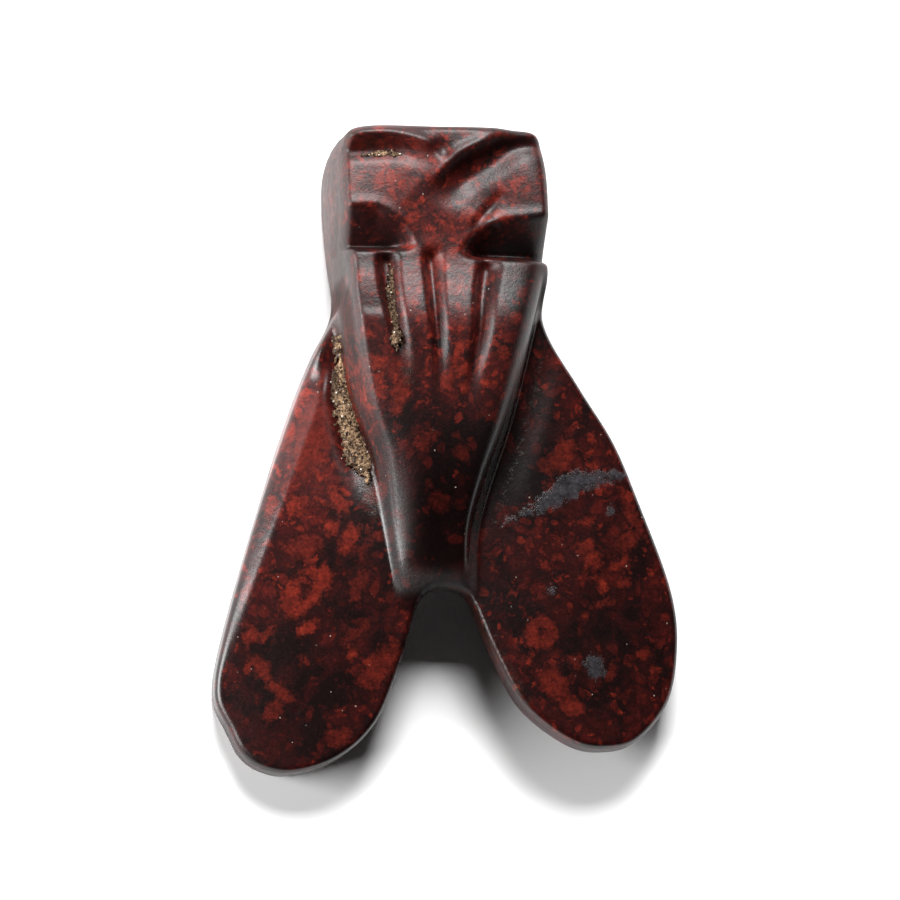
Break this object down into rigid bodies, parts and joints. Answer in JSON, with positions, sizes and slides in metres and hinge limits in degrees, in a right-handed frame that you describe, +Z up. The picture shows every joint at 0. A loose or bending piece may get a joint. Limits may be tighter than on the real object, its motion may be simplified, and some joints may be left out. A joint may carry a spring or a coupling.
{
  "type": "fly amulet",
  "caption": "Small carved stone amulet in the form of a fly: square head with brows and eyes, fluted thorax, tapering abdomen and spread flat wings. It lies on its flat underside.",
  "frame": {"origin": "centre of the object's box at the level of its flat underside, where it lies", "axes": "+Y from the wing tips to the head, +Z up out of the carved side, +X across the wings to the right"},
  "size_m": [0.0162, 0.0222, 0.0067],
  "materials": {
    "stone": "polished mottled red stone, dark maroon with red patches, tan soil in the deep cuts"
  },
  "bodies": {
    "root": {"fly_amulet": "stone"}
  },
  "joints": []
}
